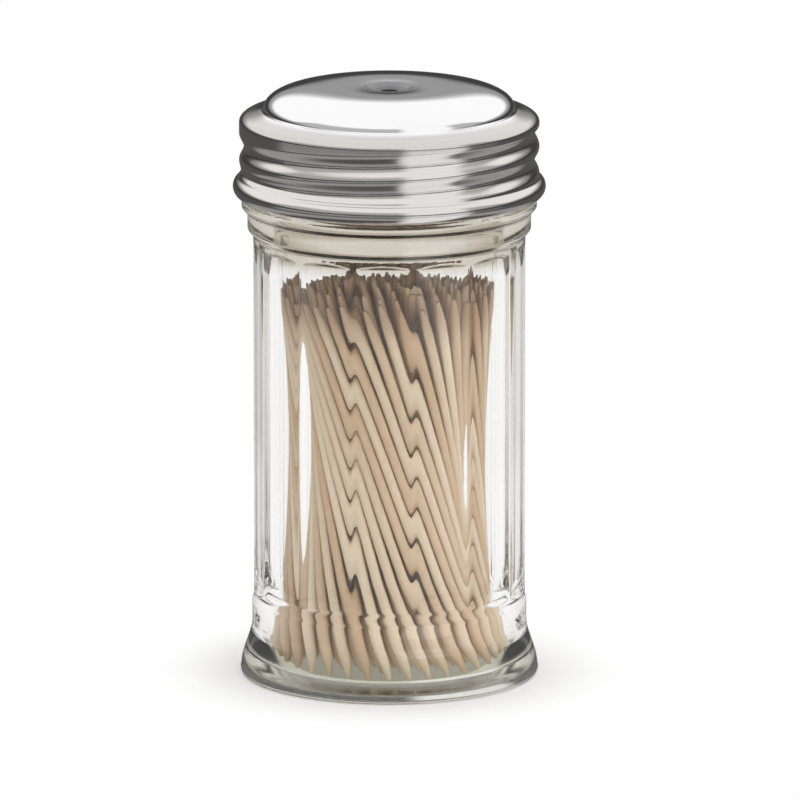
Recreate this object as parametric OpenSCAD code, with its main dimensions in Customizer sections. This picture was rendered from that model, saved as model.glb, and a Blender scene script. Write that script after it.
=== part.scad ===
/* [Glass jar] */
// Height from the table to the top of the lid's dome
total_h = 101.6; // [99:0.1:104]
// Radius of the foot at its widest
foot_r = 25.4; // [24.8:0.1:26.5]
// Radius at the ridges between two panels
ridge_r = 23.1; // [22.9:0.1:23.2]
// Number of hollow panels round the body
panel_count = 14; // [10:1:18]
// How far the middle of a panel lies inside the ridge circle
panel_depth = 0.62; // [0.56:0.01:1.3]
// Height where the panels begin
panel_bottom = 13.9; // [13.4:0.1:15]
// Height where the panels end
panel_top = 75.9; // [74:0.1:76.4]
// Turn of the first ridge from the camera-facing side, in degrees
ridge_turn = -15.35; // [-25:0.05:25]
// Radius of the hollow inside the body
cavity_r = 19.4; // [19.35:0.05:19.8]
// Radius of the hollow where it spreads at the foot
cavity_foot_r = 21.4; // [21:0.1:21.8]
// Height of the glass floor above the table
floor_z = 2.5; // [2.4:0.1:3.2]
// Height of the glass rim
rim_z = 96.2; // [96.1:0.05:96.3]
// Radius of the neck under the lid
neck_r = 23.7; // [23.5:0.05:23.75]

/* [Screw lid] */
// Thickness of the drawn steel sheet
sheet_t = 0.4; // [0.3:0.05:0.45]
// Radius of the plain skirt, outside
skirt_r = 25.45; // [25.4:0.01:25.5]
// Radius of the dome where it meets the shoulder
dome_r = 21.45; // [21:0.05:21.8]
// Height of the shoulder ring where it meets the dome, outside
shoulder_z = 97.5; // [97.4:0.05:97.6]
// Diameter of the hole that lets one toothpick out
hole_d = 2.8; // [2.6:0.1:3.2]
// Depth of the dish round the hole
dish_depth = 0.8; // [0.4:0.1:1]
// Height of the middle of the rolled hem
hem_z = 84.55; // [84.5:0.05:84.7]

/* [Screw thread] */
// Rise of the thread in one turn
thread_pitch = 4.6; // [4.4:0.05:4.8]
// How far the rolled thread sinks into the skirt
thread_depth = 0.8; // [0.6:0.05:0.85]
// How far the glass thread stands out from the neck
glass_thread_h = 1.1; // [0.9:0.05:1.1]
// Height of the lower rolled groove at the camera-facing side
groove_z = 88.0; // [87.9:0.05:88.2]

/* [Toothpicks] */
// Length of a toothpick
pick_length = 70.5; // [64:0.5:71]
// Diameter of a toothpick
pick_d = 1.9; // [1.8:0.01:1.91]
// Spacing of neighbouring toothpicks in a ring at the waist of the bundle
pick_spacing = 1.99; // [1.99:0.01:2.6]
// Radius of the outer ring of toothpicks where they stand on the glass floor
bundle_foot_r = 20; // [19.9:0.05:20.05]
// Radius of the outer ring of toothpicks at their tops
bundle_top_r = 18.5; // [18.4:0.05:18.55]
// Turn from the foot of a toothpick to its top, clockwise from above, in degrees
bundle_turn = 82; // [72:1:82]

/* [Hidden] */
$fn = 96;

// Glass: the foot's curved flare and its flat standing ring
foot_edge_r = 0.9;
flare_start = 1.0;
flare_end = 9.4;
flare_steps = 9;
stand_ring_r = 18;
push_up_h = 0.9;
waist_r = 23.38;
waist_top_z = 12.7;
waist_step_h = 0.6;

// Glass: the round shoulder, the ring below the lid and the neck
shoulder_r = 24.05;
shoulder_low_z = 77.4;
shoulder_high_z = 80.2;
glass_ring_r = 25.05;
glass_ring_low_z = 81.1;
glass_ring_top_z = 82.3;
neck_foot_z = 83.2;
rim_round = 1.2;
mouth_r = 19.4;
cavity_flare_top = 13;
cavity_flare_low = 6;
cavity_floor_round = 0.9;

// Panels: a hollow arc that meets the ridge circle beside each ridge's narrow land
panel_half_angle = 180 / panel_count;
ridge_land = 0.7;
hollow_half_angle = panel_half_angle - asin(ridge_land / 2 / ridge_r);
hollow_half_w = ridge_r * sin(hollow_half_angle);
hollow_sagitta = panel_depth - ridge_r * (1 - cos(hollow_half_angle));
hollow_r = (hollow_half_w * hollow_half_w + hollow_sagitta * hollow_sagitta) / (2 * hollow_sagitta);
hollow_x = ridge_r - panel_depth + hollow_r;
runout_h = 1.4;
runout_drop = panel_depth + 0.8;

// Lid: the dome's curve, the corner and the rolled hem
dome_flatness = 5.5;
dome_roundness = 2.1;
dome_steps = 12;
dish_r = 4.6;
dish_flat_r = 1.9;
dish_steps = 5;
dome_h = total_h - shoulder_z;
shoulder_drop = 0.5;
corner_r = 2.3;
corner_h = 1.4;
corner_start = 72;
corner_z = shoulder_z - shoulder_drop - corner_h;
hem_bead_r = 1.7;
hem_bead_x = skirt_r - 0.6;
hem_top_angle = 69;
hem_low_angle = -75;
collar_h = 0.7;
collar_step = 0.08;
collar_bite = 0.25;

// Threads: both are right-handed, and theta counts degrees from the +X side
groove_theta = 270;
roll_start = 160;
roll_end = 765;
roll_fade = 45;
roll_ease = 0.9;
wall_columns = 60;
wall_row_h = 0.5;
glass_start = 200;
glass_end = 600;
glass_fade = 40;
glass_step = 7.5;
glass_half_w = 1.6;
glass_profile_steps = 8;
glass_sunk = 0.5;

// Liner: a flat sealing ring with a little room above and below
liner_r = 22.5;
liner_bore_r = 19.6;
liner_t = 0.45;
liner_gap = 0.05;

// Toothpicks: tapered tips, and lengths that differ a little as cut wood does
tip_length = 6.5;
tip_r = 0.35;
length_spread = 1.4;
length_seed = 7;
ring_count = 7;
turn_swing = 8;
turn_phase = 90;
middle_clear = 0.1;

// Shared helpers
function smooth(t) = let (c = min(1, max(0, t))) c * c * (3 - 2 * c);
function arc_points(cx, cy, r, from, to, steps) =
  [for (i = [0:steps]) let (a = from + (to - from) * i / steps) [cx + r * cos(a), cy + r * sin(a)]];
function reversed(list) = [for (i = [len(list) - 1:-1:0]) list[i]];
function unit(v) = v / norm(v);
// Left-hand normal of the step from a to b
function step_normal(a, b) = let (d = unit(b - a)) [-d[1], d[0]];
// A line of points moved sideways by t, with mitred corners
function shifted(points, t) = [
  for (i = [0:len(points) - 1])
    let (
      before = step_normal(points[max(0, i - 1)], points[max(1, i)]),
      after = step_normal(points[min(i, len(points) - 2)], points[min(i + 1, len(points) - 1)])
    )
    points[i] + t * (before + after) / (1 + before * after)
];

// Glass jar

function foot_flare_r(z) =
  waist_r + (foot_r - waist_r - 0.1) * (1 + cos(180 * (z - flare_start) / (flare_end - flare_start))) / 2;

function jar_outside() = concat(
  [[0, push_up_h], [stand_ring_r - 2, push_up_h], [stand_ring_r, 0]],
  arc_points(foot_r - foot_edge_r, foot_edge_r, foot_edge_r, -90, 0, 5),
  [for (i = [0:flare_steps])
    let (z = flare_start + (flare_end - flare_start) * (i + 0.2) / (flare_steps + 0.2)) [foot_flare_r(z), z]],
  [
    [waist_r, waist_top_z],
    [ridge_r, waist_top_z + waist_step_h],
    [ridge_r, panel_top],
    [shoulder_r - 0.2, shoulder_low_z - 0.5],
    [shoulder_r, shoulder_low_z],
    [shoulder_r, shoulder_high_z],
    [glass_ring_r - 0.2, glass_ring_low_z - 0.2],
    [glass_ring_r, glass_ring_low_z],
    [glass_ring_r, glass_ring_top_z - 0.3],
    [glass_ring_r - 0.3, glass_ring_top_z],
    [neck_r + 0.3, glass_ring_top_z + 0.3],
    [neck_r, neck_foot_z]
  ],
  arc_points(neck_r - rim_round, rim_z - rim_round, rim_round, 0, 90, 5),
  [[0, rim_z]]
);

module cavity_profile() {
  polygon(concat(
    [[0, floor_z]],
    arc_points(cavity_foot_r - cavity_floor_round, floor_z + cavity_floor_round, cavity_floor_round, -90, 0, 5),
    [for (i = [0:6])
      let (t = i / 6)
      [cavity_foot_r + (cavity_r - cavity_foot_r) * smooth(t),
       cavity_flare_low + (cavity_flare_top - cavity_flare_low) * t]],
    [[mouth_r, rim_z - 0.7], [mouth_r + 0.7, rim_z + 0.1], [0, rim_z + 0.1]]
  ));
}

// One hollow panel's cutter: an upright round bar whose ends draw in and leave the glass
module panel_cutter() {
  end_r = hollow_r - runout_drop;
  translate([hollow_x, 0, 0])
    rotate_extrude()
      polygon([
        [0, panel_bottom],
        [end_r, panel_bottom],
        [hollow_r, panel_bottom + runout_h],
        [hollow_r, panel_top - runout_h],
        [end_r, panel_top],
        [0, panel_top]
      ]);
}

// The glass thread, a round bead that rises out of the neck and sinks back into it
function glass_bead_h(theta) =
  let (t = min(smooth((theta - glass_start) / glass_fade), smooth((glass_end - theta) / glass_fade)))
  (glass_thread_h + 0.3) * t - 0.3;
function glass_bead_z(theta) = groove_z + thread_pitch * (theta - groove_theta) / 360 + thread_pitch / 2;
function glass_bead_section(theta) = concat(
  [[neck_r - glass_sunk, -glass_half_w]],
  [for (i = [0:glass_profile_steps])
    let (u = 2 * i / glass_profile_steps - 1)
    [neck_r - 0.15 + (glass_bead_h(theta) + 0.15) * pow(cos(90 * u), 1.2), u * glass_half_w]],
  [[neck_r - glass_sunk, glass_half_w]]
);

module glass_thread() {
  sections = [
    for (theta = [glass_start:glass_step:glass_end])
      [for (p = glass_bead_section(theta)) [p[0] * cos(theta), p[0] * sin(theta), p[1] + glass_bead_z(theta)]]
  ];
  sides = len(sections[0]);
  last = len(sections) - 1;
  polyhedron(
    points = [for (s = sections) each s],
    faces = concat(
      [[for (k = [sides - 1:-1:0]) k]],
      [for (i = [0:last - 1]) for (k = [0:sides - 1])
        let (next = (k + 1) % sides)
        each [
          [i * sides + k, i * sides + next, (i + 1) * sides + next],
          [i * sides + k, (i + 1) * sides + next, (i + 1) * sides + k]
        ]],
      [[for (k = [0:sides - 1]) last * sides + k]]
    )
  );
}

module glass_jar() {
  color([0.86, 0.9, 0.88, 0.45])
    difference() {
      union() {
        rotate_extrude() polygon(jar_outside());
        glass_thread();
      }
      rotate_extrude() cavity_profile();
      for (i = [0:panel_count - 1])
        rotate(-90 + ridge_turn + (2 * i + 1) * panel_half_angle)
          panel_cutter();
    }
}

// Screw lid

function dome_z(r) =
  shoulder_z + dome_h * pow(max(0, 1 - pow(r / dome_r, dome_flatness)), 1 / dome_roundness);
function dish_z(r) =
  dome_z(r) - dish_depth * (1 + cos(180 * min(1, max(0, (r - dish_flat_r) / (dish_r - dish_flat_r))))) / 2;

// The outside of the sheet from the hole's edge to the top of the skirt
function lid_outside() = concat(
  [[hole_d / 2, dish_z(dish_flat_r)]],
  [for (i = [0:dish_steps])
    let (r = dish_flat_r + (dish_r - dish_flat_r) * i / dish_steps) [r, dish_z(r)]],
  [for (i = [1:dome_steps])
    let (a = 12 + 74 * i / dome_steps, r = dome_r * pow(sin(a), 2 / dome_flatness)) [r, dome_z(r)]],
  [[dome_r, shoulder_z + 0.25], [dome_r + 0.25, shoulder_z]],
  [for (p = arc_points(0, 0, 1, corner_start, 0, 6)) [skirt_r - corner_r + corner_r * p[0], corner_z + corner_h * p[1]]],
  [[skirt_r, skirt_top_z + collar_h - collar_bite]]
);

module lid_top() {
  outside = lid_outside();
  rotate_extrude()
    polygon(concat(outside, reversed(shifted(outside, -sheet_t))));
}

// How deep the rolled thread is at a place on the skirt: 0 where it is plain, 1 in the groove
function roll_share(theta, z) =
  let (
    off = z - (groove_z + thread_pitch * (theta - groove_theta) / 360),
    fade = min(smooth((theta - roll_start) / roll_fade), smooth((roll_end - theta) / roll_fade))
  )
  abs(off) >= thread_pitch / 2 ? 0 : fade * pow(cos(180 * off / thread_pitch), 2);
function roll_depth(phi, z) =
  thread_depth * smooth((z - skirt_low_z) / roll_ease) * smooth((skirt_top_z - z) / roll_ease)
  * (roll_share(phi, z) + roll_share(phi + 360, z) + roll_share(phi + 720, z));

skirt_top_z = corner_z - collar_h;
skirt_low_z = hem_z + hem_bead_r * sin(hem_top_angle) + collar_h;
wall_low_z = skirt_low_z - collar_bite;
wall_high_z = skirt_top_z + collar_bite;
wall_rows = ceil((wall_high_z - wall_low_z) / wall_row_h);

// The rolled skirt as a closed wall whose plain ends lie inside a collar above and below
module rolled_skirt() {
  rows = wall_rows + 1;
  function wall_z(j) = wall_low_z + (wall_high_z - wall_low_z) * j / wall_rows;
  function ring(r) = [for (j = [0:rows - 1]) for (i = [0:wall_columns - 1])
    let (phi = 360 * i / wall_columns, across = r - roll_depth(phi, wall_z(j)))
    [across * cos(phi), across * sin(phi), wall_z(j)]];
  outer = ring(skirt_r);
  inner = ring(skirt_r - sheet_t);
  inside = rows * wall_columns;
  top = (rows - 1) * wall_columns;
  polyhedron(
    points = concat(outer, inner),
    faces = concat(
      [for (j = [0:rows - 2]) for (i = [0:wall_columns - 1])
        let (a = j * wall_columns + i, b = j * wall_columns + (i + 1) % wall_columns)
        each [
          [a, a + wall_columns, b + wall_columns], [a, b + wall_columns, b],
          [inside + a, inside + b + wall_columns, inside + a + wall_columns],
          [inside + a, inside + b, inside + b + wall_columns]
        ]],
      [for (i = [0:wall_columns - 1])
        let (next = (i + 1) % wall_columns)
        each [
          [i, next, inside + next], [i, inside + next, inside + i],
          [top + i, inside + top + next, top + next], [top + i, inside + top + i, inside + top + next]
        ]]
    )
  );
}

// A collar a hair thicker than the sheet, where the rolled skirt joins the plain sheet
module skirt_collar(low_z) {
  rotate_extrude()
    translate([skirt_r - sheet_t - collar_step, low_z])
      square([sheet_t + 2 * collar_step, collar_h]);
}

// The rolled hem: the sheet swings out round a bead and turns in again below
module lid_hem() {
  bead = arc_points(hem_bead_x, hem_z, hem_bead_r, hem_top_angle, hem_low_angle, 14);
  path = concat([[skirt_r, skirt_low_z - collar_h + collar_bite]], bead);
  rotate_extrude()
    polygon(concat(path, reversed(shifted(path, -sheet_t))));
}

module screw_lid() {
  color([0.78, 0.77, 0.75])
    union() {
      lid_top();
      skirt_collar(skirt_top_z);
      rolled_skirt();
      skirt_collar(skirt_low_z - collar_h);
      lid_hem();
    }
}

module lid_liner() {
  color([0.9, 0.88, 0.82])
    translate([0, 0, rim_z + liner_gap])
      difference() {
        cylinder(r = liner_r, h = liner_t);
        translate([0, 0, -1])
          cylinder(r = liner_bore_r, h = liner_t + 2);
      }
}

// Toothpicks

module toothpick(length) {
  color([0.87, 0.74, 0.56])
    rotate_extrude($fn = 24)
      polygon([
        [0, 0],
        [tip_r, 0],
        [pick_d / 2, tip_length],
        [pick_d / 2, length - tip_length],
        [tip_r, length],
        [0, length]
      ]);
}

// Level distance from the foot to the top of a pick whose ends stand a turn apart
function sideways(foot, top, turn) = sqrt(foot * foot + top * top - 2 * foot * top * cos(turn));

// Ring k of straight picks, which lean the same way and draw in at the waist where they turn most
module toothpick_ring(k) {
  foot = bundle_foot_r * k / ring_count;
  top = bundle_top_r * k / ring_count;
  most_turn = bundle_turn + turn_swing;
  most_sideways = sideways(foot, top, most_turn);
  waist = foot * top * sin(most_turn) / most_sideways;
  level_spacing = pick_spacing / cos(asin(most_sideways / pick_length));
  count = floor(360 / (2 * asin(min(1, level_spacing / (2 * waist)))));
  lengths = rands(pick_length - length_spread, pick_length, count, length_seed + k);
  for (i = [0:count - 1]) {
    place = 360 * (i + k / 2) / count;
    turn = bundle_turn - turn_swing * cos(place - turn_phase);
    from = foot * [cos(place + turn / 2), sin(place + turn / 2)];
    to = top * [cos(place - turn / 2), sin(place - turn / 2)];
    lean = asin(norm(to - from) / pick_length);
    translate([from[0], from[1], floor_z + middle_clear + tip_r * sin(lean)])
      rotate([0, lean, atan2(to[1] - from[1], to[0] - from[0])])
        toothpick(lengths[i]);
  }
}

module middle_toothpick() {
  translate([0, 0, floor_z + middle_clear])
    toothpick(pick_length);
}

glass_jar();
screw_lid();
lid_liner();
middle_toothpick();
toothpick_ring(1);  // toothpicks_ring_1
toothpick_ring(2);  // toothpicks_ring_2
toothpick_ring(3);  // toothpicks_ring_3
toothpick_ring(4);  // toothpicks_ring_4
toothpick_ring(5);  // toothpicks_ring_5
toothpick_ring(6);  // toothpicks_ring_6
toothpick_ring(7);  // toothpicks_ring_7
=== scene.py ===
import math
import random

import bmesh
import bpy
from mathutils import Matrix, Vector


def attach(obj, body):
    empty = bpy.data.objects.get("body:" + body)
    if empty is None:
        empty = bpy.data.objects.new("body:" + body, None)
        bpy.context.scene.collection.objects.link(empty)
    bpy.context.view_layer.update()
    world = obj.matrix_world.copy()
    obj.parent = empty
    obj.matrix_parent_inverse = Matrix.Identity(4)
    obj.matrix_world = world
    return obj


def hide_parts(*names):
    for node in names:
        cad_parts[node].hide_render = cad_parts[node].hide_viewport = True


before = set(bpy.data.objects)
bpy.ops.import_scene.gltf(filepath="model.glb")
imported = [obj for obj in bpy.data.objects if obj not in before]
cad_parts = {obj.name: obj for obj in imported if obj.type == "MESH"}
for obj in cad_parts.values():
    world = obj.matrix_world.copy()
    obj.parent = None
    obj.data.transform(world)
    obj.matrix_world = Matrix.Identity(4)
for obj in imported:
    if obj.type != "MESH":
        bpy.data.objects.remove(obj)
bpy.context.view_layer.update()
mm = 0.001
mergeGap = 0.002    # mm between vertices that are made one
onShape = 0.01      # mm within which a vertex counts as lying at a radius or height


# Working in edit mode

def deselectAll():
    active = bpy.context.view_layer.objects.active
    if active and active.mode != "OBJECT":
        bpy.ops.object.mode_set(mode="OBJECT")
    bpy.ops.object.select_all(action="DESELECT")


def makeActive(piece):
    deselectAll()
    piece.select_set(True)
    bpy.context.view_layer.objects.active = piece


def startPoint(name, radius, height, turn):
    # a plane merged to one vertex, from which a profile or an arc is drawn out
    deselectAll()
    bpy.ops.mesh.primitive_plane_add(size=mm)
    piece = bpy.context.object
    piece.name = piece.data.name = name
    bpy.ops.object.mode_set(mode="EDIT")
    bpy.ops.mesh.select_all(action="SELECT")
    bpy.ops.mesh.merge(type="CENTER")
    bpy.ops.transform.translate(value=(radius * math.cos(turn), radius * math.sin(turn), height))
    return piece


def extrudeTo(step):
    bpy.ops.mesh.extrude_region_move(TRANSFORM_OT_translate={"value": step})


def growRing(old, new):
    # the selected ring at radius and height old is drawn out to a new one
    extrudeTo((0, 0, (new[1] - old[1]) * mm))
    share = new[0] / old[0]
    bpy.ops.transform.resize(value=(share, share, 1), center_override=(0, 0, new[1] * mm))


def mergeDoubles():
    bpy.ops.mesh.select_all(action="SELECT")
    bpy.ops.mesh.remove_doubles(threshold=mergeGap * mm)


def closeMesh():
    mergeDoubles()
    bpy.ops.mesh.dissolve_degenerate(threshold=mergeGap / 4 * mm)
    bpy.ops.mesh.select_all(action="SELECT")
    bpy.ops.mesh.normals_make_consistent(inside=False)
    bpy.ops.object.mode_set(mode="OBJECT")


def smoothFaces(piece, sharpAngle):
    makeActive(piece)
    bpy.ops.object.shade_smooth_by_angle(angle=math.radians(sharpAngle))


# Numbers along a shape

def ease(share):
    share = min(1, max(0, share))
    return share * share * (3 - 2 * share)


def spaced(start, change, steps):
    return [start + change * i / steps for i in range(steps + 1)]


def arcPoints(centreR, centreZ, radius, fromTurn, toTurn, steps):
    turns = [math.radians(turn) for turn in spaced(fromTurn, toTurn - fromTurn, steps)]
    return [(centreR + radius * math.cos(turn), centreZ + radius * math.sin(turn)) for turn in turns]


def placeOnPiece(vertex):
    # turn about the axis in degrees, radius and height in mm
    turn = math.degrees(math.atan2(vertex.co.y, vertex.co.x)) % 360
    return turn, vertex.co.xy.length / mm, vertex.co.z / mm


# Shader maths: a wire is a node's output, and arithmetic on it adds Math nodes

class Wire:
    def __init__(self, tree, socket):
        self.tree = tree
        self.socket = socket

    def node(self, kind, settings, sockets, output=0):
        return addNode(self.tree, kind, settings, sockets, output)

    def math(self, operation, first, second):
        return self.node("ShaderNodeMath", {"operation": operation}, {0: first, 1: second})

    def __add__(self, other):
        return self.math("ADD", self, other)

    def __radd__(self, other):
        return self.math("ADD", other, self)

    def __sub__(self, other):
        return self.math("SUBTRACT", self, other)

    def __rsub__(self, other):
        return self.math("SUBTRACT", other, self)

    def __mul__(self, other):
        return self.math("MULTIPLY", self, other)

    def __rmul__(self, other):
        return self.math("MULTIPLY", other, self)


def addNode(tree, kind, settings, sockets, output=0):
    node = tree.nodes.new(kind)
    for name, value in settings.items():
        if name == "stops":
            for extra in value[2:]:
                node.color_ramp.elements.new(extra[0])
            for element, (place, colour) in zip(node.color_ramp.elements, value):
                element.position = place
                element.color = (*colour, 1)
        else:
            setattr(node, name, value)
    for name, value in sockets.items():
        if isinstance(value, Wire):
            tree.links.new(value.socket, node.inputs[name])
        else:
            node.inputs[name].default_value = value
    return Wire(tree, node.outputs[output]) if node.outputs else None


def between(wire, low, high):
    # 0 below low and 1 above high, with a smooth rise
    return wire.node(
        "ShaderNodeMapRange", {"interpolation_type": "SMOOTHSTEP"}, {"Value": wire, "From Min": low, "From Max": high}
    )


def band(wire, low, full, fullEnd, high):
    # rises from low to full, and falls again from fullEnd to high
    return between(wire, low, full) * (1 - between(wire, fullEnd, high))


def coordinates(tree, kind="Object"):
    return addNode(tree, "ShaderNodeTexCoord", {}, {}, kind)


def attribute(tree, name, kind="Fac"):
    return addNode(tree, "ShaderNodeAttribute", {"attribute_name": name}, {}, kind)


def along(vector, axis):
    return vector.node("ShaderNodeSeparateXYZ", {}, {0: vector}, axis)


def flattened(vector):
    return vector.node("ShaderNodeVectorMath", {"operation": "MULTIPLY"}, {0: vector, 1: (1, 1, 0)}, "Vector")


def lengthOf(vector):
    return vector.node("ShaderNodeVectorMath", {"operation": "LENGTH"}, {0: vector}, "Value")


def noise(vector, scale, detail, **sockets):
    # a triple as the scale stretches the pattern along the axes
    if isinstance(scale, tuple):
        vector = vector.node("ShaderNodeMapping", {}, {"Vector": vector, "Scale": scale})
        scale = 1
    return vector.node("ShaderNodeTexNoise", {}, {"Vector": vector, "Scale": scale, "Detail": detail, **sockets})


def bumped(height, strength, depth):
    return height.node("ShaderNodeBump", {}, {"Height": height, "Strength": strength, "Distance": depth * mm})


def ramp(wire, stops):
    return wire.node("ShaderNodeValToRGB", {"stops": stops}, {"Fac": wire})


def mixColours(factor, first, second):
    first, second = (c if isinstance(c, Wire) else (*c, 1) for c in (first, second))
    return factor.node("ShaderNodeMix", {"data_type": "RGBA"}, {"Factor": factor, 6: first, 7: second}, 2)


def startMaterial(name):
    material = bpy.data.materials.new(name)
    material.use_nodes = True
    material.node_tree.nodes.clear()
    return material, material.node_tree


def finishMaterial(tree, shader, depth=None):
    sockets = {"Surface": shader, "Volume": depth} if depth else {"Surface": shader}
    addNode(tree, "ShaderNodeOutputMaterial", {}, sockets)


def principled(tree, sockets):
    return addNode(tree, "ShaderNodeBsdfPrincipled", {}, sockets)


# Glass jar: one panel's slice is drawn ring by ring, and spun into a whole jar

jarShape = {
    "panels": 14,
    "ridgeTurn": -15.35,      # of the first ridge from the -Y side, degrees
    "ridgeRadius": 23.1,
    "ridgeLand": 0.7,
    "ridgeRounding": 0.08,
    "panelDepth": 0.62,
    "panelBottom": 13.9,
    "panelTop": 75.9,
    "panelRows": 12,
    "runout": 1.4,            # height over which a panel's end comes up to the ridge circle
    "runoutDrop": 1.42,
    "runoutCurve": 1.2,
    "runoutRows": 7,
    "sliceColumns": 20,
    "underside": [
        (0.5, 0.95), (6, 0.93), (12, 0.9), (15.4, 0.86), (16.6, 0.66),
        (17.4, 0.28), (18.2, 0.03), (19, 0), (21.5, 0), (23.6, 0),
    ],
    "footRadius": 25.4,
    "footEdge": 0.9,
    "flareFoot": 1,           # of the cosine wave, whose rings start a little above it
    "flareRise": 8.4,
    "flareInset": 0.1,
    "flareStart": 1.15,
    "flareHeight": 8.25,
    "flareRows": 14,
    "waistRadius": 23.38,
    "waistStart": 12.6,
    "waistHeight": 0.8,
    "shoulderStart": 76,
    "shoulderHeight": 1.5,
    "shoulderStep": 0.95,
    "ringBelowLid": [
        (24.05, 79), (24.05, 80), (24.1, 80.3), (24.3, 80.6), (24.65, 80.8), (24.9, 80.95), (25.03, 81.15),
        (25.05, 81.5), (25.05, 81.9), (24.98, 82.15), (24.8, 82.28), (24.4, 82.36), (24.05, 82.5),
        (23.85, 82.7), (23.73, 83),
    ],
    "neckRadius": 23.7,
    "neckStart": 83.4,
    "neckHeight": 11.4,
    "neckRows": 30,
    "rimHeight": 96.2,
    "rimRounding": 1.2,
    "rimInside": [(20.6, 0.02), (20.0, 0.2), (19.6, 0.55)],    # radius and depth below the rim
    "cavityRadius": 19.4,
    "cavityTop": 90,
    "cavityBottom": 14,
    "cavityRows": 12,
    "cavityFootRadius": 21.4,
    "cavityFlareTop": 13,
    "cavityFlareHeight": 7,
    "floorHeight": 2.5,
    "floorRounding": 0.9,
    "floorSag": 0.2,
    "floorSagRadius": 18,
    "floorRings": (16, 11, 6, 0.5),
    "beadRange": (83.9, 94.9),    # heights between which the thread may lie
    "beadHeight": 1.1,        # of the thread, a round bead that rises out of the neck and sinks back
    "beadHalfWidth": 1.6,
    "beadRoundness": 1.2,
    "beadRoot": 0.15,
    "beadSink": 0.3,
    "beadStart": 200,
    "beadEnd": 600,
    "beadFade": 40,
    "beadFoot": 90.3,         # height of its middle line at the -Y side
    "pitch": 4.6,
}


def flareRadius(height):
    # half a cosine wave leads from the foot in to the waist
    j = jarShape
    rise = (1 + math.cos(math.pi * (height - j["flareFoot"]) / j["flareRise"])) / 2
    return j["waistRadius"] + (j["footRadius"] - j["waistRadius"] - j["flareInset"]) * rise


def panelHeights():
    # of the rings over a panel, close together where it runs out
    j = jarShape
    low = spaced(j["panelBottom"], j["runout"], j["runoutRows"])
    high = spaced(j["panelTop"], -j["runout"], j["runoutRows"])[::-1]
    return low + spaced(low[-1], high[0] - low[-1], j["panelRows"])[1:-1] + high


def jarProfile():
    # from the middle of the underside outwards, up, over the rim and down inside
    j = jarShape
    edge, rounding, bend = j["footEdge"], j["rimRounding"], j["floorRounding"]
    neck, rim, cavity = j["neckRadius"], j["rimHeight"], j["cavityRadius"]
    points = list(j["underside"])
    points += arcPoints(j["footRadius"] - edge, edge, edge, -78, 0, 6)
    points += [(flareRadius(z), z) for z in spaced(j["flareStart"], j["flareHeight"], j["flareRows"])]
    step = j["waistRadius"] - j["ridgeRadius"]
    for share, height in zip(spaced(0, 1, 5), spaced(j["waistStart"], j["waistHeight"], 5)):
        points.append((j["waistRadius"] - step * ease(share), height))
    points += [(j["ridgeRadius"], height) for height in panelHeights()]
    for share, height in zip(spaced(0, 1, 6)[1:], spaced(j["shoulderStart"], j["shoulderHeight"], 6)[1:]):
        points.append((j["ridgeRadius"] + j["shoulderStep"] * ease(share), height))
    points += j["ringBelowLid"]
    points += [(neck, height) for height in spaced(j["neckStart"], j["neckHeight"], j["neckRows"])]
    points += arcPoints(neck - rounding, rim - rounding, rounding, 0, 90, 7)
    points += [(radius, rim - depth) for radius, depth in j["rimInside"]] + [(cavity, rim - rounding)]
    points += [(cavity, z) for z in spaced(j["cavityTop"], j["cavityBottom"] - j["cavityTop"], j["cavityRows"])]
    spread = j["cavityFootRadius"] - cavity
    for share, height in zip(spaced(0, 1, 8)[1:], spaced(j["cavityFlareTop"], -j["cavityFlareHeight"], 8)[1:]):
        points.append((cavity + spread * ease(share), height))
    points += arcPoints(j["cavityFootRadius"] - bend, j["floorHeight"] + bend, bend, 0, -90, 7)
    points += [(r, j["floorHeight"] - j["floorSag"] * (1 - r / j["floorSagRadius"])) for r in j["floorRings"]]
    return points


def hollowDepth(offset, height):
    # how far a panel lies inside the ridge circle, at an angle from its middle line
    j = jarShape
    half = math.pi / j["panels"] - math.asin(j["ridgeLand"] / 2 / j["ridgeRadius"])
    sagitta = j["panelDepth"] - j["ridgeRadius"] * (1 - math.cos(half))
    halfWidth = j["ridgeRadius"] * math.sin(half)
    radius = (halfWidth ** 2 + sagitta ** 2) / (2 * sagitta)
    centre = j["ridgeRadius"] - j["panelDepth"] + radius
    inset = min(height - j["panelBottom"], j["panelTop"] - height)
    if inset < j["runout"]:
        radius -= j["runoutDrop"] * (1 - max(0, inset) / j["runout"]) ** j["runoutCurve"]
    reach = radius ** 2 - (centre * math.sin(offset)) ** 2
    depth = j["ridgeRadius"] - centre * math.cos(offset) + math.sqrt(max(0, reach))
    return (depth + math.sqrt(depth ** 2 + j["ridgeRounding"] ** 2)) / 2


def sinkPanel(piece):
    # each row of a panel is pressed in, pair by pair of columns
    j = jarShape
    mesh = bmesh.from_edit_mesh(piece.data)
    rows = {}
    for vertex in mesh.verts:
        height = vertex.co.z / mm
        radius = vertex.co.xy.length / mm
        onPanel = j["panelBottom"] - onShape < height < j["panelTop"] + onShape
        if onPanel and radius > j["ridgeRadius"] - onShape:
            offset = abs(math.atan2(vertex.co.y, vertex.co.x))
            rows.setdefault((round(height, 3), round(offset, 4)), []).append(vertex)
    for (height, offset), vertices in rows.items():
        bpy.ops.mesh.select_all(action="DESELECT")
        for vertex in vertices:
            vertex.select = True
        mesh.select_flush_mode()
        share = 1 - hollowDepth(offset, height) / j["ridgeRadius"]
        bpy.ops.transform.resize(value=(share, share, 1), center_override=(0, 0, height * mm))


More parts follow.
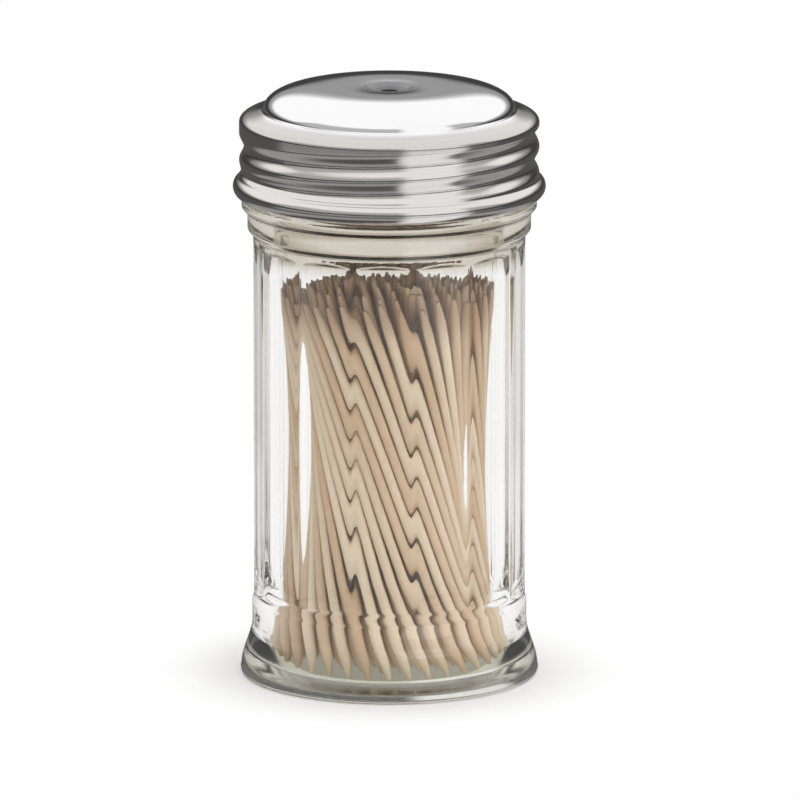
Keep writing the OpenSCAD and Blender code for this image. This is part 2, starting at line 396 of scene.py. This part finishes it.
def beadRadius(turn, height):
    # radius of the thread's bead at a place on the neck
    j = jarShape
    across = (height - j["beadFoot"] - j["pitch"] * (turn - 270) / 360) / j["beadHalfWidth"]
    if abs(across) > 1:
        return 0
    fade = min(ease((turn - j["beadStart"]) / j["beadFade"]), ease((j["beadEnd"] - turn) / j["beadFade"]))
    rise = (j["beadHeight"] + j["beadSink"]) * fade - j["beadSink"]
    crown = math.cos(math.pi / 2 * across) ** j["beadRoundness"]
    return j["neckRadius"] - j["beadRoot"] + (rise + j["beadRoot"]) * crown


def raiseThread(piece):
    # the bead climbs round the neck, so every vertex there has its own radius
    j = jarShape
    low, high = j["beadRange"]
    mesh = bmesh.from_edit_mesh(piece.data)
    for vertex in mesh.verts:
        turn, radius, height = placeOnPiece(vertex)
        if low < height < high and abs(radius - j["neckRadius"]) < onShape:
            vertex.co.xy *= max(radius, beadRadius(turn, height), beadRadius(turn + 360, height)) / radius
    bmesh.update_edit_mesh(piece.data)


def makeJar():
    j = jarShape
    profile = jarProfile()
    half = math.pi / j["panels"]
    # columns stand closer together near the ridges, where the surface turns fast
    shares = spaced(-0.5, 1, j["sliceColumns"])
    turns = [half * math.sin(math.pi * share) * 0.5 + half * share for share in shares]
    first = profile[0][0] * mm
    piece = startPoint("glassJar", first, profile[0][1] * mm, turns[0])
    spokes = [first * Vector((math.cos(turn), math.sin(turn), 0)) for turn in turns]
    for start, end in zip(spokes, spokes[1:]):
        extrudeTo(end - start)
    bpy.ops.mesh.select_all(action="SELECT")
    for old, new in zip(profile, profile[1:]):
        growRing(old, new)
    sinkPanel(piece)
    bpy.ops.mesh.select_all(action="SELECT")
    step = 2 * math.pi / j["panels"]
    bpy.ops.mesh.spin(
        steps=j["panels"] - 1, dupli=True, angle=step * (j["panels"] - 1), center=(0, 0, 0), axis=(0, 0, 1)
    )
    mergeDoubles()
    # the two open rings in the middle of the floor and of the underside are filled
    bpy.ops.mesh.select_all(action="DESELECT")
    bpy.ops.mesh.select_non_manifold()
    bpy.ops.mesh.edge_face_add()
    closeMesh()
    piece.rotation_euler.z = math.radians(-90 + j["ridgeTurn"]) + half
    bpy.ops.object.transform_apply(location=False, rotation=True, scale=False)
    bpy.ops.object.mode_set(mode="EDIT")
    raiseThread(piece)
    bpy.ops.object.mode_set(mode="OBJECT")
    smoothFaces(piece, 60)
    return piece


glassLook = {
    # heights and lengths in metres, as the coordinates are
    "clear": (0.995, 0.995, 0.99),
    # painted shade: the glass darkens to a warm grey in this band of heights below the lid
    "shoulderShade": (0.70, 0.66, 0.59),
    "shoulderBand": (0.0715, 0.0750, 0.0825, 0.0860),
    # the thick foot's greenish tint, darkened further as painted shade of the shadowed floor under it
    "footTintAndShade": (0.78, 0.78, 0.70),
    "footTop": (0.003, 0.0085),
    "dullTop": (0.0028, 0.006),
    "dullness": 0.12,
    "rubbed": 0.03,
    "depthColour": (0.80, 0.775, 0.70),
    "depthDensity": 7,
    "refraction": 1.5,
}


def clearGlass():
    g = glassLook
    material, tree = startMaterial("clearGlass")
    place = coordinates(tree)
    height = along(place, "Z")
    waves = noise(place, 90, 1)
    fine = noise(place, 420, 2)
    # painted shade darkens the glass in the band below the lid
    tintAndShade = mixColours(band(height, *g["shoulderBand"]), g["clear"], g["shoulderShade"])
    # at the foot, the greenish tint of thick glass with painted shade of the floor under it
    tintAndShade = mixColours(between(height, *g["footTop"]), g["footTintAndShade"], tintAndShade)
    shader = principled(tree, {
        "Base Color": tintAndShade,
        "Roughness": between(fine, 0.55, 0.75) * g["rubbed"] + (1 - between(height, *g["dullTop"])) * g["dullness"],
        "IOR": g["refraction"],
        "Transmission Weight": 1,
        "Normal": bumped(waves * 0.8 + fine * 0.12, 0.35, 0.2),
    })
    depth = addNode(tree, "ShaderNodeVolumeAbsorption", {}, {
        "Color": (*g["depthColour"], 1), "Density": g["depthDensity"],
    })
    finishMaterial(tree, shader, depth)
    return material


# Screw lid: a profile spun round, the skirt rolled along the thread, and the sheet given its thickness

lidShape = {
    "columns": 216,
    "sheet": 0.4,
    "topHeight": 101.6,
    "holeRadius": 1.4,
    "dishRadius": 4.6,
    "dishFlatRadius": 1.9,
    "dishDepth": 0.8,
    "domeRadius": 21.45,
    "domeFlatness": 5.5,      # powers of the dome's rounded outline
    "domeRoundness": 2.1,
    "domeTurns": (8, 78, 30),     # first turn, change and steps of the dome's rings
    "domeGap": 0.3,           # from the dish to the first of them
    "domeFillet": 0.3,
    "filletGap": 0.02,
    "shoulderHeight": 97.5,
    "shoulderDrop": 0.5,
    "cornerRadius": 2.3,
    "cornerHeight": 1.4,
    "skirtRadius": 25.45,
    "skirtRow": 0.2,
    "hemHeight": 84.55,
    "hemRadius": 1.69,
    "hemInset": 0.6,
    "hemGap": 0.25,           # from the skirt's last row to the hem
    "pitch": 4.6,
    "rollDepth": 0.8,
    "grooveHeight": 88.0,     # of the groove's middle at the -Y side
    "rollStart": 160,
    "rollEnd": 765,
    "rollFade": 45,
    "rollEdge": 0.9,
    "rollGap": 0.3,           # of plain skirt below the corner
}


def domeHeight(radius):
    d = lidShape
    rise = d["topHeight"] - d["shoulderHeight"]
    bulge = max(0, 1 - (radius / d["domeRadius"]) ** d["domeFlatness"]) ** (1 / d["domeRoundness"])
    inward = (radius - d["dishFlatRadius"]) / (d["dishRadius"] - d["dishFlatRadius"])
    dish = d["dishDepth"] * (1 + math.cos(math.pi * min(1, max(0, inward)))) / 2
    return d["shoulderHeight"] + rise * bulge - dish


def cornerFoot():
    d = lidShape
    return d["shoulderHeight"] - d["shoulderDrop"] - d["cornerHeight"]


def lidProfile():
    # from the hole outwards over the dome and the shoulder, and down the skirt round the hem
    d = lidShape
    radii = [d["holeRadius"]] + spaced(d["dishFlatRadius"], d["dishRadius"] - d["dishFlatRadius"], 8)
    turns = [math.radians(turn) for turn in spaced(*d["domeTurns"])]
    dome = [d["domeRadius"] * math.sin(turn) ** (2 / d["domeFlatness"]) for turn in turns]
    radii += [radius for radius in dome if radius > d["dishRadius"] + d["domeGap"]]
    points = [(radius, domeHeight(radius)) for radius in radii]
    fillet = d["domeFillet"]
    centre = d["domeRadius"] + fillet + d["filletGap"]
    points += arcPoints(centre, d["shoulderHeight"] + fillet, fillet, 180, 270, 4)
    across, up, high = d["cornerRadius"], d["cornerHeight"], cornerFoot()
    points += [(d["skirtRadius"] - across + across * r, high + up * z) for r, z in arcPoints(0, 0, 1, 72, 0, 10)]
    hem = arcPoints(d["skirtRadius"] - d["hemInset"], d["hemHeight"], d["hemRadius"], 66, -75, 16)
    low = hem[0][1] + d["hemGap"]
    rows = round((high - low) / d["skirtRow"])
    return points + [(d["skirtRadius"], height) for height in spaced(high, low - high, rows)[1:]] + hem


def rollShare(turn, height):
    # 0 on the plain skirt, 1 in the middle of the rolled groove
    d = lidShape
    away = height - d["grooveHeight"] - d["pitch"] * (turn - 270) / 360
    if abs(away) > d["pitch"] / 2:
        return 0
    fade = min(ease((turn - d["rollStart"]) / d["rollFade"]), ease((d["rollEnd"] - turn) / d["rollFade"]))
    return fade * math.cos(math.pi * away / d["pitch"]) ** 2


def rollThread(piece):
    # the rolled groove climbs all the way round, so every vertex of the skirt has its own depth
    d = lidShape
    mesh = bmesh.from_edit_mesh(piece.data)
    low, high = d["hemHeight"] + d["hemRadius"], cornerFoot() - d["rollGap"]
    for vertex in mesh.verts:
        turn, _, height = placeOnPiece(vertex)
        if low < height < high:
            share = sum(rollShare(turn + 360 * i, height) for i in range(3))
            share *= ease((height - low) / d["rollEdge"]) * ease((high - height) / d["rollEdge"])
            vertex.co.xy *= 1 - d["rollDepth"] * share / d["skirtRadius"]
    bmesh.update_edit_mesh(piece.data)


def giveThickness(piece):
    # the sheet grows inwards, and its inner side is marked for the material
    outer = len(piece.data.vertices)
    makeActive(piece)
    modifier = piece.modifiers.new("Solidify", "SOLIDIFY")
    modifier.thickness = lidShape["sheet"] * mm
    modifier.offset = -1
    modifier.use_even_offset = True
    bpy.ops.object.modifier_apply(modifier=modifier.name)
    inside = piece.data.attributes.new("inside", "FLOAT", "POINT")
    inside.data.foreach_set("value", [float(i >= outer) for i in range(len(piece.data.vertices))])


def makeLid():
    profile = lidProfile()
    piece = startPoint("screwLid", profile[0][0] * mm, profile[0][1] * mm, 0)
    for old, new in zip(profile, profile[1:]):
        extrudeTo(((new[0] - old[0]) * mm, 0, (new[1] - old[1]) * mm))
    bpy.ops.mesh.select_all(action="SELECT")
    bpy.ops.mesh.spin(steps=lidShape["columns"], angle=2 * math.pi, center=(0, 0, 0), axis=(0, 0, 1))
    mergeDoubles()
    rollThread(piece)
    bpy.ops.mesh.select_all(action="SELECT")
    bpy.ops.mesh.normals_make_consistent(inside=False)
    bpy.ops.object.mode_set(mode="OBJECT")
    topFace = max(piece.data.polygons, key=lambda face: face.center.z)
    if topFace.normal.z < 0:
        piece.data.flip_normals()
    giveThickness(piece)
    smoothFaces(piece, 50)
    return piece


steelLook = {
    # heights and radii in metres
    "dome": (0.94, 0.94, 0.955),
    # painted shade: the skirt's steel is darker than the dome's, for the side of the lid
    "skirt": (0.75, 0.73, 0.71),
    # painted shade on the rounded corner at the top of the skirt
    "shoulder": (0.66, 0.65, 0.635),
    # painted shade in the dished hollow round the hole
    "dish": (0.27, 0.27, 0.28),
    # painted shade at the edge of the hole
    "hole": (0.10, 0.10, 0.11),
    # painted shade inside the lid
    "inside": (0.17, 0.165, 0.16),
    "skirtTop": (0.0971, 0.0976),
    "shoulderFoot": (0.0950, 0.0958),
    "dishEdge": (0.0042, 0.0056),
    "holeEdge": (0.0020, 0.0034),
    "brushing": (60, 60, 9000),
}


def lidSteel():
    s = steelLook
    material, tree = startMaterial("lidSteel")
    place = coordinates(tree)
    height = along(place, "Z")
    outward = lengthOf(flattened(place))
    onSkirt = 1 - between(height, *s["skirtTop"])
    inDish = (1 - between(outward, *s["dishEdge"])) * (1 - onSkirt)
    atHole = (1 - between(outward, *s["holeEdge"])) * (1 - onSkirt)
    inside = attribute(tree, "inside")
    brushed = noise(place, s["brushing"], 3)
    smudges = noise(place, 70, 2)
    # painted shade: the skirt is darker than the dome, with streaks from the brushing
    shade = mixColours(onSkirt * (0.75 + brushed * 0.5), s["dome"], s["skirt"])
    # painted shade on the rounded corner at the top of the skirt
    shade = mixColours(onSkirt * between(height, *s["shoulderFoot"]), shade, s["shoulder"])
    # painted shade in the dished hollow round the hole
    shade = mixColours(inDish, shade, s["dish"])
    # painted shade at the edge of the hole
    shade = mixColours(atHole * 0.8, shade, s["hole"])
    # painted shade on the inner side of the sheet
    shade = mixColours(inside, shade, s["inside"])
    finishMaterial(tree, principled(tree, {
        "Base Color": shade,
        "Metallic": 1,
        "Roughness": 0.04 + smudges * 0.03 + onSkirt * (0.05 + brushed * 0.08) + inDish * 0.3 + inside * 0.4,
        "Normal": bumped(brushed * onSkirt, 0.12, 0.03),
    }))
    return material


# Toothpicks: one is modelled, and copies lie where the frame has them

pickShape = {
    "length": 70.5,
    "radius": 0.95,
    "sides": 10,
    "tip": 0.36,
    "neck": 0.62,
    "neckLength": 1.2,
    "taper": 4.4,
    "tipSearch": 0.3,         # the frame's tips are looked for within this reach
    "grainShift": 0.2,
}
woodSeed = random.Random(12)


def makeToothpick():
    p = pickShape
    deselectAll()
    bpy.ops.mesh.primitive_circle_add(vertices=p["sides"], radius=p["tip"] * mm, fill_type="NGON")
    piece = bpy.context.object
    piece.name = piece.data.name = "toothpick"
    bpy.ops.object.mode_set(mode="EDIT")
    bpy.ops.mesh.select_all(action="SELECT")
    lowerEnd = [(p["tip"], 0), (p["neck"], p["neckLength"]), (p["radius"], p["taper"])]
    rings = lowerEnd + [(radius, p["length"] - height) for radius, height in reversed(lowerEnd)]
    for old, new in zip(rings, rings[1:]):
        growRing(old, new)
    closeMesh()
    grain = piece.data.attributes.new("grain", "FLOAT_VECTOR", "POINT")
    grain.data.foreach_set("vector", [c for v in piece.data.vertices for c in v.co])
    piece.data.attributes.new("tone", "FLOAT", "POINT")
    smoothFaces(piece, 50)
    return piece


def islands(mesh):
    # the places of each loose part's vertices
    seen = set()
    for first in mesh.verts:
        if first in seen:
            continue
        places, waiting = [], [first]
        seen.add(first)
        while waiting:
            vertex = waiting.pop()
            places.append(vertex.co.copy())
            for link in vertex.link_edges:
                other = link.other_vert(vertex)
                if other not in seen:
                    seen.add(other)
                    waiting.append(other)
        yield places


def middleOf(places):
    return sum(places, Vector()) / len(places)


def pickEnds(node):
    # the middle of each tip of every toothpick in a node of the frame
    reach = pickShape["tipSearch"] * mm
    copy = bmesh.new()
    copy.from_mesh(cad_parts[node].data)
    bmesh.ops.remove_doubles(copy, verts=copy.verts, dist=0.001 * mm)
    ends = []
    for places in islands(copy):
        low, high = min(places, key=lambda c: c.z), max(places, key=lambda c: c.z)
        for _ in range(2):
            way = (high - low).normalized()
            distances = [(c - low).dot(way) for c in places]
            foot, top = min(distances), max(distances)
            high = middleOf([c for c, a in zip(places, distances) if a > top - reach])
            low = middleOf([c for c, a in zip(places, distances) if a < foot + reach])
        ends.append((low, high))
    copy.free()
    return ends


def layToothpicks(template, node, name, body):
    full = template.dimensions.z
    copies = []
    for low, high in pickEnds(node):
        makeActive(template)
        bpy.ops.object.duplicate(linked=False)
        pick = bpy.context.object
        way = high - low
        pick.rotation_mode = "QUATERNION"
        pick.rotation_quaternion = way.to_track_quat("Z", "Y")
        pick.location = low
        pick.scale = (1, 1, way.length / full)
        tone = woodSeed.random()
        pick.data.attributes["tone"].data.foreach_set("value", [tone] * len(pick.data.vertices))
        shift = Vector([woodSeed.uniform(-1, 1) for _ in range(3)]) * pickShape["grainShift"]
        grain = [c for v in pick.data.vertices for c in v.co + shift]
        pick.data.attributes["grain"].data.foreach_set("vector", grain)
        copies.append(pick)
    deselectAll()
    for pick in copies:
        pick.select_set(True)
    bpy.context.view_layer.objects.active = copies[0]
    if len(copies) > 1:
        bpy.ops.object.join()
    piece = bpy.context.object
    piece.name = piece.data.name = name
    bpy.ops.object.transform_apply(location=True, rotation=True, scale=True)
    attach(piece, body)
    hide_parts(node)


woodLook = {
    "stops": [
        (0.0, (0.66, 0.43, 0.24)), (1.0, (0.99, 0.86, 0.66)), (0.35, (0.86, 0.66, 0.43)), (0.7, (0.96, 0.78, 0.55)),
    ],
    # painted shade: the toothpicks' upper ends darken where the lid shades them in the jar
    "lidShadowColour": (0.38, 0.21, 0.09),
    "lidShadowFrom": (0.0585, 0.0675),    # metres, on a toothpick at rest
    "fibres": (2600, 2600, 70),
    "bands": (500, 500, 40),
}


def paleWood():
    w = woodLook
    material, tree = startMaterial("paleWood")
    grain = attribute(tree, "grain", "Vector")
    fibres = noise(grain, w["fibres"], 4, Roughness=0.6)
    bands = noise(grain, w["bands"], 2)
    colour = ramp(attribute(tree, "tone") * 0.7 + bands * 0.3 + fibres * 0.3 - 0.09, w["stops"])
    # painted shade of the lid over the toothpicks' upper ends, by height
    lidShadow = between(along(coordinates(tree), "Z"), *w["lidShadowFrom"])
    finishMaterial(tree, principled(tree, {
        "Base Color": mixColours(lidShadow * 0.6, colour, w["lidShadowColour"]),
        "Roughness": 0.6 + fibres * 0.15,
        "Specular IOR Level": 0.3,
        "Normal": bumped(fibres, 0.3, 0.06),
    }))
    return material


# Lid liner: the frame's own ring in its material

linerLook = {
    "stops": [(0.3, (0.78, 0.76, 0.71)), (0.7, (0.86, 0.84, 0.79))],
}


def linerRubber():
    material, tree = startMaterial("linerRubber")
    cloud = noise(coordinates(tree), 260, 3)
    finishMaterial(tree, principled(tree, {
        "Base Color": ramp(cloud, linerLook["stops"]),
        "Roughness": 0.55 + cloud * 0.15,
        "Normal": bumped(cloud, 0.2, 0.05),
    }))
    return material


# Camera, floor and light

studio = {
    "photoSize": 800,
    "pixelsPerMm": 5.877,
    "distance": 2.2,
    "elevation": 12.7,
    "axisPixel": (389.3, 384),    # where the axis at midHeight shows in the photograph
    "midHeight": 50,
    "foreshortened": 5.733,       # pixels per mm of height
    "sensor": 36,
    "clip": (0.05, 50),
    "floorSize": 16,
    "windowTurn": 36,             # of the bright window to the right of the camera, degrees
    "windowEdge": (0.87, 0.95),   # cosines of the angle from its middle
    "lampAim": (0, 0, 0.06),
}


def makeCamera():
    s = studio
    focalPixels = s["pixelsPerMm"] / mm * s["distance"]
    half = s["photoSize"] / 2
    aim = Vector((
        (half - s["axisPixel"][0]) / s["pixelsPerMm"] * mm,
        0,
        (s["midHeight"] - (half - s["axisPixel"][1]) / s["foreshortened"]) * mm,
    ))
    tilt = math.radians(s["elevation"])
    back = Vector((0, -math.cos(tilt), math.sin(tilt)))
    bpy.ops.object.camera_add(location=aim + back * s["distance"])
    camera = bpy.context.object
    camera.name = "camera"
    camera.rotation_euler = (-back).to_track_quat("-Z", "Y").to_euler()
    camera.data.sensor_width = s["sensor"]
    camera.data.lens = focalPixels * s["sensor"] / s["photoSize"]
    camera.data.clip_start, camera.data.clip_end = s["clip"]
    bpy.context.scene.camera = camera


def lightPaths(tree):
    # a refracted ray counts as glossy too, so a mirrored one is glossy and not refracted
    camera, glossy, through = (
        addNode(tree, "ShaderNodeLightPath", {}, {}, name)
        for name in ("Is Camera Ray", "Is Glossy Ray", "Is Transmission Ray")
    )
    return camera, through, glossy * (1 - through)


def windowSector(place):
    # 1 towards the bright window in front on the right, and 0 elsewhere
    flat = flattened(place)
    way = place.node("ShaderNodeVectorMath", {"operation": "NORMALIZE"}, {0: flat}, "Vector")
    turn = math.radians(studio["windowTurn"])
    facing = place.node("ShaderNodeVectorMath", {"operation": "DOT_PRODUCT"}, {
        0: way, 1: (math.sin(turn), -math.cos(turn), 0),
    }, "Value")
    return between(facing, *studio["windowEdge"])


floorLook = {
    "stops": [(0.0, (0.69, 0.69, 0.685)), (1.0, (0.72, 0.72, 0.715))],
    # what the metal mirrors, painted as light and dark rings round the part that only reflections see, in metres from
    # its axis
    "nearRing": (0.07, 0.10, 0.15, 0.20),
    "middleRing": (0.26, 0.32, 0.46, 0.52),
    "farRing": (0.58, 0.66, 0.85, 1.0),
    "innerGap": (0.19, 0.22, 0.26, 0.30),
    "outerGap": (0.48, 0.54, 0.56, 0.64),
    "windowEnd": (0.9, 1.2),
    "frontEdge": (-0.05, 0.05),
    "rightEdge": (0, 0.2),
    # where the camera sees white paper, and where the glass does
    "shadowEnd": (0.026, 0.042),
    "footShadeEnd": (0.018, 0.04),
}


def paleFloor():
    f = floorLook
    material, tree = startMaterial("paleFloor")
    place = coordinates(tree)
    away = lengthOf(place)
    atRight = between(along(place, "X"), *f["rightEdge"])
    inFront = 1 - between(along(place, "Y"), *f["frontEdge"])
    window = windowSector(place)
    near = band(away, *f["nearRing"])
    middle = band(away, *f["middleRing"]) * (0.28 - atRight * 0.2)
    far = band(away, *f["farRing"]) * (0.5 - atRight * 0.25)
    gaps = band(away, *f["innerGap"]) + band(away, *f["outerGap"])
    # painted light for mirrored rays: the floor glows in the window's sector and in rings round the part
    pane = window * (1 - between(away, *f["windowEnd"])) * (0.95 - gaps * 0.5)
    mirrored = pane + (1 - window) * (0.05 + inFront * (middle + far) + near * 0.28)
    camera, through, mirror = lightPaths(tree)
    lit = addNode(tree, "ShaderNodeBsdfDiffuse", {}, {"Color": ramp(noise(place, 40, 2), f["stops"])})
    white = addNode(tree, "ShaderNodeEmission", {}, {
        "Color": (1, 1, 1, 1), "Strength": camera + through + mirror * mirrored,
    })
    seen = camera * (0.2 + between(away, *f["shadowEnd"]) * 0.8)
    share = seen + through * (0.4 + between(away, *f["footShadeEnd"]) * 0.45) + mirror * 0.95
    finishMaterial(tree, addNode(tree, "ShaderNodeMixShader", {}, {0: share, 1: lit, 2: white}))
    return material


def makeFloor():
    deselectAll()
    bpy.ops.mesh.primitive_plane_add(size=studio["floorSize"])
    floor = bpy.context.object
    floor.name = "floor"
    floor.data.materials.append(paleFloor())


lamps = {
    # place, size, radiance
    "overhead": ((0, 0.25, 1.15), (1.5, 1.3), 1.2),
    "window": ((0.8, -1.1, 0.65), (1.2, 1.3), 1.9),
}


def makeLamps():
    for name, (place, size, radiance) in lamps.items():
        deselectAll()
        bpy.ops.object.light_add(type="AREA", location=place)
        lamp = bpy.context.object
        lamp.name = name
        lamp.data.shape = "RECTANGLE"
        lamp.data.size, lamp.data.size_y = size
        lamp.data.energy = radiance * math.pi * size[0] * size[1]
        lamp.visible_glossy = False    # the metal mirrors the sky's bright sector instead
        aim = Vector(studio["lampAim"]) - Vector(place)
        lamp.rotation_euler = aim.to_track_quat("-Z", "Y").to_euler()


skyLook = {
    "colour": (1, 0.995, 0.985),
    "frontEdge": (-0.2, 0.2),
    # heights are the upward part of a direction of length 1
    "greyFrom": (0.13, 0.19),
    "whiteFrom": (0.22, 0.34),
    "paneFrom": (0.03, 0.12),
}


def makeWorld():
    k = skyLook
    world = bpy.data.worlds.new("studio")
    world.use_nodes = True
    tree = world.node_tree
    tree.nodes.clear()
    way = coordinates(tree, "Generated")
    up = along(way, "Z")
    inFront = between(along(way, "Y") * -1, *k["frontEdge"])
    window = windowSector(way)
    mirror = lightPaths(tree)[2]
    grey = between(up, *k["greyFrom"]) * (0.27 + inFront * 0.16)
    whiteStart, whiteFull = k["whiteFrom"]
    white = between(up, whiteStart + inFront * 0.28, whiteFull + inFront * 0.35) * (0.7 - inFront * 0.16)
    pane = window * (0.08 + between(up, *k["paneFrom"]) * 0.92)
    mirrored = pane + (1 - window) * (0.05 + grey + white)
    shader = addNode(tree, "ShaderNodeBackground", {}, {
        "Color": (*k["colour"], 1), "Strength": mirror * mirrored + (1 - mirror),
    })
    addNode(tree, "ShaderNodeOutputWorld", {}, {"Surface": shader})
    bpy.context.scene.world = world


makeCamera()
makeFloor()
makeLamps()
makeWorld()
print("studio ready")

glass = makeJar()
glass.data.materials.append(clearGlass())
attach(glass, "jar")
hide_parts("glass_jar")
print("jar ready:", len(glass.data.polygons), "faces")

lid = makeLid()
lid.data.materials.append(lidSteel())
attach(lid, "lid")
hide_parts("screw_lid")
print("lid ready:", len(lid.data.polygons), "faces")

template = makeToothpick()
template.data.materials.append(paleWood())
for node in sorted(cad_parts):
    if node.startswith("toothpicks_ring_"):
        layToothpicks(template, node, "toothpicksRing" + node[len("toothpicks_ring_"):], "jar")
layToothpicks(template, "middle_toothpick", "middleToothpick", "loose_toothpick")
bpy.data.objects.remove(template)
print("toothpicks ready")

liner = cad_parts["lid_liner"]
liner.data.materials.clear()
liner.data.materials.append(linerRubber())
print("liner ready")

# light turns many times inside thick glass before it leaves
paths = bpy.context.scene.cycles
paths.max_bounces = 32
paths.transmission_bounces = 32
paths.glossy_bounces = 24
bpy.context.scene.view_settings.view_transform = "Standard"
